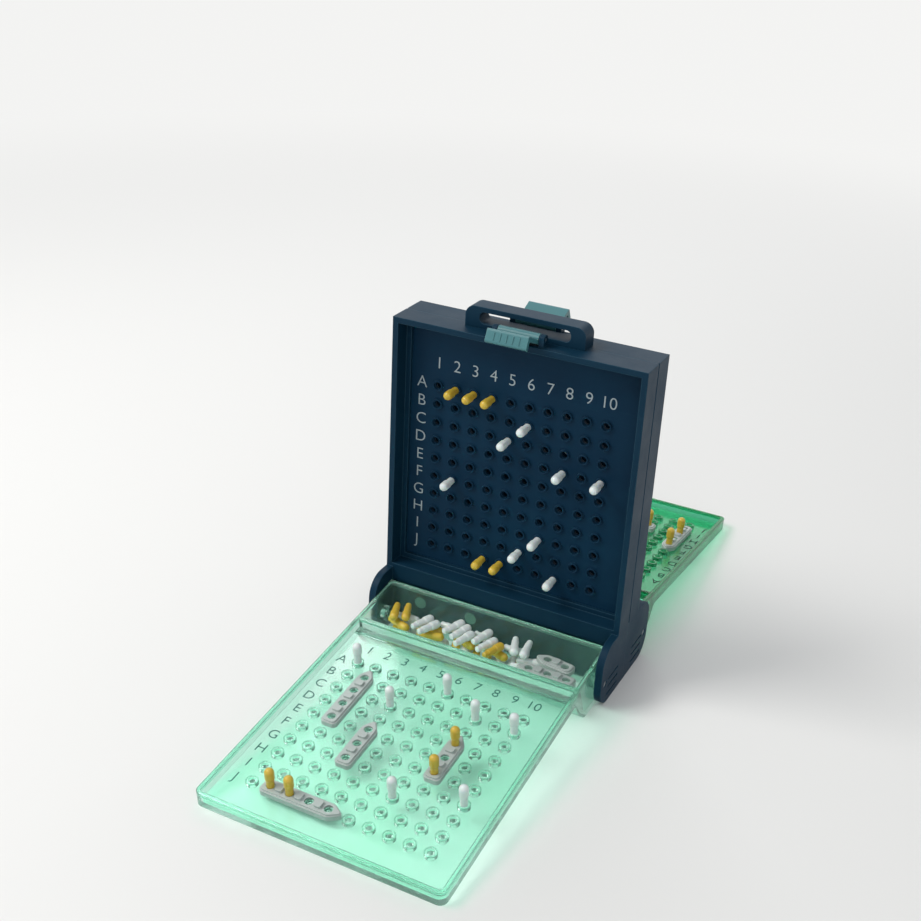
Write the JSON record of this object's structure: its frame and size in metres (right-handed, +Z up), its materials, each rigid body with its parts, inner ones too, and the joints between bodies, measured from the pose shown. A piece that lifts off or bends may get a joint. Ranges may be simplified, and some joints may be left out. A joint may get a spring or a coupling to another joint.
{
  "type": "fleet guessing case",
  "caption": "Upright double-faced peg screen with see-through fleet trays hinged at its foot, bins of spare pegs, hooked latches on top and a strap loop.",
  "frame": {"origin": "on the table, under the middle of the screen", "axes": "+X along the screen to the front player's right, +Y towards the rear player, +Z up"},
  "size_m": [0.1056, 0.2996, 0.1472],
  "materials": {
    "screen_plastic": "dark petrol-blue moulded plastic",
    "latch_plastic": "light teal moulded plastic",
    "tray_plastic": "see-through aqua-green moulded plastic",
    "pin_steel": "plain steel wire and screws",
    "white_peg": "white moulded plastic",
    "yellow_peg": "mustard-yellow moulded plastic",
    "ship_plastic": "light grey moulded plastic"
  },
  "bodies": {
    "screen": {"frame_screws": "pin_steel", "front_hinge_pins": "pin_steel", "front_latch_pin": "pin_steel", "front_screen_frame": "screen_plastic", "front_target_panel": "screen_plastic", "front_target_white_pegs": "white_peg", "front_target_yellow_pegs": "yellow_peg", "rear_hinge_pins": "pin_steel", "rear_latch_pin": "pin_steel", "rear_screen_frame": "screen_plastic", "rear_target_panel": "screen_plastic", "rear_target_white_pegs": "white_peg", "rear_target_yellow_pegs": "yellow_peg", "strap_loop": "screen_plastic"},
    "front_tray": {"front_battleship": "ship_plastic", "front_carrier": "ship_plastic", "front_cruiser": "ship_plastic", "front_fleet_tray": "tray_plastic", "front_spare_ships": "ship_plastic", "front_spare_white_pegs": "white_peg", "front_spare_yellow_pegs": "yellow_peg", "front_submarine": "ship_plastic", "front_tray_white_pegs": "white_peg", "front_tray_yellow_pegs": "yellow_peg"},
    "rear_tray": {"rear_battleship": "ship_plastic", "rear_carrier": "ship_plastic", "rear_cruiser": "ship_plastic", "rear_fleet_tray": "tray_plastic", "rear_spare_ships": "ship_plastic", "rear_spare_white_pegs": "white_peg", "rear_spare_yellow_pegs": "yellow_peg", "rear_submarine": "ship_plastic", "rear_tray_white_pegs": "white_peg", "rear_tray_yellow_pegs": "yellow_peg"},
    "front_latch": {"front_latch": "latch_plastic"},
    "rear_latch": {"rear_latch": "latch_plastic"}
  },
  "joints": [
    {"name": "front_tray_fold", "type": "hinge", "parent": "screen", "child": "front_tray", "pos_m": [0, -0.0215, 0.0104], "axis": [-1, 0, 0], "range_deg": [0, 96.58]},
    {"name": "rear_tray_fold", "type": "hinge", "parent": "screen", "child": "rear_tray", "pos_m": [0, 0.0215, 0.0104], "axis": [1, 0, 0], "range_deg": [0, 96.58]},
    {"name": "front_latch_turn", "type": "hinge", "parent": "screen", "child": "front_latch", "pos_m": [0, -0.008, 0.14125], "axis": [1, 0, 0], "range_deg": [0, 25]},
    {"name": "rear_latch_turn", "type": "hinge", "parent": "screen", "child": "rear_latch", "pos_m": [0, 0.008, 0.14125], "axis": [-1, 0, 0], "range_deg": [0, 25]}
  ]
}
